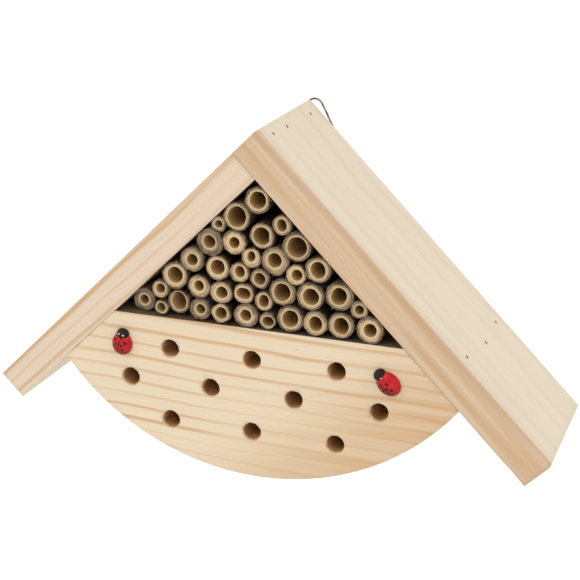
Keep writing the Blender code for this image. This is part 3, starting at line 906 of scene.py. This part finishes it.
def tube_rings(tube, bm, layer):
    """The skin's rings: along the bark, over the cut end, down the bore."""
    length = tube.back - tube.front
    rings = []

    def ring(place, value):
        made = []
        for turn in turns_of(TUBE_SIDES):
            vertex = bm.verts.new(place(turn))
            vertex[layer] = value
            made.append(vertex)
        rings.append(made)

    def on_bark(turn, share):
        point = tube.bark_point(turn)
        depth = tube.cut_depth(turn, 1.0) + (length - tube.cut_depth(turn, 1.0)) * share
        rough = rough_round(turn, 2, depth / MM * 0.06 + tube.seed)
        point += (point - tube.centre) * 0.012 * rough
        point.y = tube.front + depth
        return point

    def on_cut(turn, share):
        point = tube.bore_point(turn).lerp(tube.bark_point(turn), share)
        point.y = tube.front + tube.cut_depth(turn, share)
        return point

    def in_bore(turn, share):
        point = tube.bore_point(turn)
        depth = tube.cut_depth(turn, 0.0) + (length - tube.cut_depth(turn, 0.0)) * share
        rough = rough_round(turn, 1.5, depth / MM * 0.08 - tube.seed)
        point += (point - tube.centre - tube.shift) * 0.03 * rough
        point.y = tube.front + depth
        return point

    for share in (1.0, 0.8, 0.6, 0.4, 0.25, 0.12, 0.05, 0.02, 0.006):
        ring(lambda turn: on_bark(turn, share), 1.0 + share)
    cut_steps = 14
    for i in range(cut_steps + 1):
        share = 1 - i / cut_steps
        ring(lambda turn: on_cut(turn, share), tube.layer(share))
    for share in (0.006, 0.02, 0.05, 0.12, 0.25, 0.45, 0.7, 1.0):
        ring(lambda turn: in_bore(turn, share), -math.sqrt(share))
    add_skin(bm, rings, closed=True)


def add_fibre(bm, layer, start, heading, length, rng, value):
    """A frayed strand that curls away from its root."""
    route = [start]
    curl = Vector([rng.uniform(-1, 1) for _ in range(3)])
    steps = 5
    for _ in range(steps):
        heading = (heading + curl * 0.25).normalized()
        route.append(route[-1] + heading * length / steps)
    made = add_wire(bm, route, FIBRE_RADIUS * rng.uniform(0.6, 1.2), sides=4, taper=True)
    for vertex in made:
        vertex[layer] = value


def add_fraying(tube, bm, layer, rng):
    """Strands round the cut end: most at the bark's edge, some at the bore."""
    for _ in range(tube.traits.get("splinters", rng.randint(7, 12))):
        turn = rng.uniform(0, 2 * math.pi)
        root = tube.bark_point(turn).lerp(tube.centre, 0.02)
        root.y = tube.front + tube.cut_depth(turn, 0.95) + 0.1 * MM
        tangent = spoke(turn + math.pi / 2) * rng.choice((-1, 1))
        heading = tangent + spoke(turn) * rng.uniform(-0.3, 0.3)
        heading.y += rng.uniform(-0.25, 0.2)
        length = rng.uniform(0.8, 2.1) * MM
        add_fibre(bm, layer, root, heading.normalized(), length, rng, rng.uniform(0.4, 0.95))
    if tube.traits.get("plug"):
        for _ in range(26):
            turn = rng.uniform(0, 2 * math.pi)
            root = tube.bore_point(turn)
            root.y = tube.front + rng.uniform(0.8, 2.6) * MM
            inward = (tube.centre - root).normalized()
            heading = inward + Vector([rng.uniform(-0.6, 0.6) for _ in range(3)])
            add_fibre(bm, layer, root, heading.normalized(), 1.5 * tube.bore, rng, 0.3)


def make_tubes():
    rng = random.Random(7)
    names = sorted(name for name in frame["nodes"] if name.startswith("bamboo_tube"))
    material = bamboo()
    for number, node in enumerate(names, start=1):
        traits = TUBE_TRAITS.get(number, {})
        tube = Tube(node, traits, rng)
        bm = bmesh.new()
        layer = bm.verts.layers.float.new("layer")
        tone = bm.verts.layers.float.new("tone")
        light = bm.verts.layers.float.new("light")
        tube_rings(tube, bm, layer)
        add_fraying(tube, bm, layer, rng)
        brightness = rng.uniform(0.9, 1.08)
        for vertex in bm.verts:
            vertex[tone] = TUBE_TONES[number - 1]
            vertex[light] = brightness
        piece = new_piece(node.replace("tube", "reed"), bm, [material])
        place_piece(piece, HOUSE, node)


# Ladybirds.

def dome_depth(half, x, z):
    """How far a dome of these half sizes stands proud at a place on its face."""
    rest = 1 - (x / half.x) ** 2 - (z / half.z) ** 2
    return half.y * math.sqrt(max(0.0, rest))


def add_cap(bm, tip, rings):
    """A closed skin from a tip, over rings of points, to a flat back."""
    tip = bm.verts.new(tip)
    skins = [[bm.verts.new(point) for point in ring] for ring in rings]
    add_skin(bm, skins)
    first = skins[0]
    for i, vertex in enumerate(first):
        bm.faces.new((tip, vertex, first[(i + 1) % len(first)]))
    bm.faces.new(skins[-1])


def add_dome(bm, half, centre_z):
    """A half ellipsoid with a flat back."""
    steps = 20
    rings = []
    for i in range(1, steps + 1):
        share = math.sin(math.pi / 2 * i / steps)
        ring = []
        for turn in turns_of(64):
            x = half.x * share * math.cos(turn)
            z = half.z * share * math.sin(turn)
            ring.append((x, -dome_depth(half, x, z), z + centre_z))
        rings.append(ring)
    add_cap(bm, (0, -half.y, centre_z), rings)


def add_spot(bm, half, centre_z, x, z, size, lift):
    """A raised blob of paint on a dome, with a wavering soft edge."""
    steps = 5
    rings = []
    for i in range(1, steps + 1):
        share = i / steps
        rise = lift * math.sqrt(1 - share**2) - SPOT_SINK * share**4
        ring = []
        for turn in turns_of(24):
            reach = size * share * (1 + 0.1 * rough_round(turn, 1, x * 9000 + z * 5000))
            px = x + reach * math.cos(turn)
            pz = z + reach * math.sin(turn)
            ring.append((px, -dome_depth(half, px, pz) - rise, pz + centre_z))
        rings.append(ring)
    add_cap(bm, (x, -dome_depth(half, x, z) - lift, z + centre_z), rings)


def mark_from(bm, first, index):
    """Give the faces from number first on the material of an index."""
    bm.faces.ensure_lookup_table()
    for face in bm.faces[first:]:
        face.material_index = index


def make_ladybird(node, turn, twist, pattern, eyes, materials):
    """A turned wooden ladybird, head up in its own frame, flat against the block. Its
    materials are the shell's, the head's, the eyes' and the spots'."""
    lean = Matrix.Rotation(turn, 4, "Y")
    across, up = lean @ RIGHT, lean @ UP
    left, right = span(node, across)
    foot, tip = span(node, up)
    low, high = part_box(node)
    length = tip - foot - HEAD_HALF.z + HEAD_LAP
    shell = Vector(((right - left) / 2, high.y - low.y, length / 2))
    head_centre = length / 2 - HEAD_LAP
    centre = across * (left + right) / 2 + up * (foot + length / 2)
    centre.y = high.y

    def twisted(middle, x, z):
        """A place given from a middle, turned with the painted pattern, in metres."""
        turned_x = x * math.cos(twist) + z * math.sin(twist)
        turned_z = z * math.cos(twist) - x * math.sin(twist)
        return (middle[0] + turned_x) * MM, (middle[1] + turned_z) * MM

    bm = bmesh.new()
    add_dome(bm, shell * PAINT_ROOM, 0.0)
    first = len(bm.faces)
    add_dome(bm, HEAD_HALF * PAINT_ROOM, head_centre)
    mark_from(bm, first, 1)
    first = len(bm.faces)
    for side in (-1, 1):
        x, z = twisted(eyes, side * EYE_SPACING, 0.0)
        add_spot(bm, HEAD_HALF, head_centre, x, z, EYE_RADIUS, EYE_LIFT)
    mark_from(bm, first, 2)
    first = len(bm.faces)
    for across_x, up_z in SPOTS:
        for side in (-1, 1):
            x, z = twisted(pattern, side * across_x, up_z)
            if math.hypot(x / shell.x, z / shell.z) < SPOT_LIMIT:
                add_spot(bm, shell, 0.0, x, z, SPOT_RADIUS, SPOT_LIFT)
    seam = []
    steps = 18
    for i in range(steps + 1):
        x, z = twisted(pattern, 0.0, SEAM_TOP - SEAM_LENGTH * i / steps)
        seam.append(Vector((x, -dome_depth(shell, x, z) - 0.02 * MM, z)))
    add_wire(bm, seam, SEAM_RADIUS, sides=8)
    mark_from(bm, first, 3)
    piece = new_piece(node + "_painted", bm, materials, Matrix.Translation(centre) @ lean)
    place_piece(piece, HOUSE, node)


# The hanger.

def rounded_corner(before, corner, after, radius, steps=10):
    """Points of the arc that rounds a corner between two straight sides."""
    to_before = (before - corner).normalized()
    to_after = (after - corner).normalized()
    half_angle = to_before.angle(to_after) / 2
    middle = (to_before + to_after).normalized()
    centre = corner + middle * radius / math.sin(half_angle)
    start = corner + to_before * radius / math.tan(half_angle) - centre
    end = corner + to_after * radius / math.tan(half_angle) - centre
    return [centre + start.slerp(end, i / steps) * radius for i in range(steps + 1)]


def hinge_point():
    low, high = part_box("hanger_ring")
    return Vector(((low.x + high.x) / 2, (low.y + high.y) / 2, low.z + WIRE_RADIUS))


def make_ring():
    """The bent wire, whose sides bow by hair's breadths as hand-bent wire does."""
    top = Vector((0, 0, RING_HEIGHT))
    right = Vector((RING_HALF_WIDTH, 0, 0))
    left = Vector((-RING_HALF_WIDTH, 0, 0))
    corners = rounded_corner(right, top, left, RING_TOP_ROUNDING)
    corners += rounded_corner(top, left, right, RING_FOOT_ROUNDING)
    corners += rounded_corner(left, right, top, RING_FOOT_ROUNDING)
    route = []
    for point, following in zip(corners, corners[1:] + corners[:1]):
        steps = max(1, round((following - point).length / MM))
        route += [point.lerp(following, i / steps) for i in range(steps)]
    for point in route:
        if point.z > 2 * MM:
            point.x += 0.1 * MM * noise.noise(point * 160)
    bm = bmesh.new()
    add_wire(bm, route, WIRE_RADIUS * 0.98, sides=14, closed=True)
    material = metal("ring_bronze", srgb(150, 138, 108), srgb(92, 80, 58), 0.38)
    ring = new_piece("hanger_wire", bm, [material], Matrix.Translation(hinge_point()))
    place_piece(ring, "hanger", "hanger_ring")


def strip_route(bar, foot):
    """The folded strip's middle line, in (y, z): up against the wood, over the bar and
    down again on top of itself."""
    near = bar.y - BARREL_RADIUS + STRIP_THICKNESS / 2 + 0.05 * MM
    far = near + STRIP_THICKNESS + 0.08 * MM
    reach = BARREL_RADIUS - STRIP_THICKNESS / 2 - 0.02 * MM
    route = [(near, foot), (near, bar.z - 2.2 * MM)]
    for degrees in range(200, -61, -20):
        angle = math.radians(degrees)
        route.append((bar.y + reach * math.cos(angle), bar.z + reach * math.sin(angle)))
    route += [(bar.y + 0.1 * MM, bar.z - 1.55 * MM), (far, bar.z - 2.4 * MM), (far, foot)]
    return route


def make_strap():
    node = "hanger_strap"
    low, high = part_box(node)
    centre = (low.x + high.x) / 2
    half = (high.x - low.x) / 2
    shares = [2 * k / (STRIP_COLUMNS - 1) - 1 for k in range(STRIP_COLUMNS)]
    bm = bmesh.new()
    rows = []
    for y, z in strip_route(hinge_point(), low.z):
        rows.append([bm.verts.new((centre + half * share, y, z)) for share in shares])
    for first, second in zip(rows, rows[1:]):
        for k in range(STRIP_COLUMNS - 1):
            bm.faces.new((first[k], first[k + 1], second[k + 1], second[k]))
    for row in (rows[0], rows[-1]):
        for vertex, share in zip(row, shares):
            vertex.co.z += STRIP_FOOT_ROUNDING * (1 - math.sqrt(1 - 0.96 * share**4))
    brass = metal("strap_brass", srgb(176, 156, 104), srgb(104, 88, 56), 0.35)
    strap = new_piece("hanger_strip", bm, [brass])
    thick = strap.modifiers.new("thickness", "SOLIDIFY")
    thick.thickness = STRIP_THICKNESS
    thick.offset = 0
    soft = strap.modifiers.new("edges", "BEVEL")
    soft.width = 0.1 * MM
    soft.segments = 2
    soft.limit_method = "ANGLE"
    apply_modifiers(strap)
    cut_out(strap, screw_cutter())
    place_piece(strap, HOUSE, node)


def make_screw():
    """A pan-head screw with a cross recess and a coarse thread."""
    rim = 0.6 * MM
    steps = 8
    profile = [(0.0, SCREW_HEAD_HEIGHT)]
    for i in range(1, steps + 1):
        angle = math.pi / 2 * i / steps
        height = rim + (SCREW_HEAD_HEIGHT - rim) * math.cos(angle)
        profile.append((SCREW_HEAD_RADIUS * math.sin(angle), height))
    bevel = 0.12 * MM
    profile += [(SCREW_HEAD_RADIUS, bevel), (SCREW_HEAD_RADIUS - bevel, 0.0), (SCREW_RADIUS, 0.0)]
    for i in range(THREAD_TURNS * len(THREAD_DEPTHS)):
        depth = THREAD_DEPTHS[i % len(THREAD_DEPTHS)] * MM
        height = -0.8 * MM - THREAD_PITCH * i / len(THREAD_DEPTHS)
        profile.append((SCREW_RADIUS - depth, height))
    profile.append((0.0, -SCREW_LENGTH))
    bm = bmesh.new()
    add_turned(bm, profile, 48)
    steel = metal("screw_zinc", srgb(196, 194, 188), srgb(132, 128, 120), 0.32, 0.3)
    screw = new_piece("hanger_pan_screw", bm, [steel], screw_frame())
    lift = screw_frame() @ Matrix.Translation((0, 0, SCREW_HEAD_HEIGHT))
    for turn in (0.35, 0.35 + math.pi / 2):
        cutter = bmesh.new()
        bmesh.ops.create_cube(cutter, size=1)
        for vertex in cutter.verts:
            narrow = 0.55 if vertex.co.z < 0 else 1.0
            vertex.co *= SLOT_SIZE * Vector((narrow, narrow, 1.0))
        place = lift @ Matrix.Rotation(turn, 4, "Z")
        cut_out(screw, new_piece("cross_slot", cutter, [steel], place))
    place_piece(screw, HOUSE, "hanger_screw")


def dress_brads():
    """The brads keep their CAD shapes and get dull, slightly rusted steel."""
    steel = metal("brad_steel", srgb(178, 152, 126), srgb(152, 122, 94), 0.55, 0.9)
    for node in brads_named("ridge", "left", "right"):
        mesh = frame["nodes"][node].data
        mesh.materials.clear()
        mesh.materials.append(steel)


# Camera and studio.

def make_camera():
    data = bpy.data.cameras.new("camera")
    data.lens = CAMERA_LENS
    camera = add_object("camera", data)
    look = (CAMERA_AIM - CAMERA_PLACE).to_track_quat("-Z", "Y").to_matrix().to_4x4()
    roll = Matrix.Rotation(CAMERA_ROLL, 4, "Z")
    camera.matrix_world = Matrix.Translation(CAMERA_PLACE) @ look @ roll
    bpy.context.scene.camera = camera


def add_sun(name, source, strength):
    """Soft parallel light from a direction, as from a wide panel."""
    data = bpy.data.lights.new(name, "SUN")
    data.angle = LIGHT_SPREAD
    data.energy = strength
    light = add_object(name, data)
    light.matrix_world = (-Vector(source)).to_track_quat("-Z", "Y").to_matrix().to_4x4()


def make_studio():
    height = CAD_BOX[0].z - FLOOR_DROP
    bpy.ops.mesh.primitive_plane_add(size=FLOOR_SIZE, location=(0, 0, height))
    floor = bpy.context.object
    floor.name = "floor"
    s = Shader("floor_paper")
    tone = s.fade(s.noise((3, 3, 3), 2.0), 0.3, 0.7)
    paper = s.mix(tone, (0.93, 0.93, 0.93), (0.95, 0.95, 0.95))
    floor.data.materials.append(s.finish(paper, 0.9))

    world = bpy.data.worlds.new("studio")
    world.use_nodes = True
    background = world.node_tree.nodes["Background"]
    background.inputs["Color"].default_value = (1.0, 1.0, 1.0, 1.0)
    background.inputs["Strength"].default_value = WORLD_STRENGTH
    bpy.context.scene.world = world
    bpy.context.scene.view_settings.view_transform = "Standard"
    add_sun("key", *KEY_SUN)
    add_sun("fill", *FILL_SUN)


DRILLED = drilled_wood(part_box("drilled_block")[0].y)
BLOCK_HEART = ((1.0, 0.0, -1.2), -5 * MM, 90 * MM, srgb(197, 163, 124))
# The block's top is darkened with painted shade.
BLOCK_PINE = pine(
    "block_pine", (0.02, -0.42), 6.0 * MM, 1.0, 2.0, srgb(217, 199, 170), BLOCK_HEART,
    slope=0.03, crowding=-1.4, painted_top_shade=0.85,
)
LEFT_HEART = ((0.0, -0.707, 0.707), 112.5 * MM, 114.5 * MM, srgb(200, 166, 128))
LEFT_PINE = pine(
    "left_board_pine", (-0.11, -0.13), 5.5 * MM, 0.8, 5.0, srgb(212, 193, 169), LEFT_HEART
)
RIGHT_HEART = ((0.0, -1.0, 0.0), 68 * MM, 72 * MM, srgb(191, 157, 120))
RIGHT_PINE = pine(
    "right_board_pine", (0.10, -0.16), 6.0 * MM, 0.22, 8.0, srgb(217, 203, 180), RIGHT_HEART
)


def main():
    make_camera()
    make_studio()
    ridge = brads_named("ridge")
    make_board("left_roof_board", -1, 1.3, LEFT_PINE, ridge + brads_named("left_block"))
    make_board("right_roof_board", 1, 7.9, RIGHT_PINE, ridge + brads_named("right_block"), True)
    make_block()
    make_panel()
    make_tubes()
    paints = [paint("ladybird_" + name, *pair) for name, pair in LADYBIRD_PAINTS.items()]
    for node, traits in LADYBIRDS.items():
        make_ladybird(node, *traits, paints)
    make_ring()
    make_strap()
    make_screw()
    dress_brads()


main()
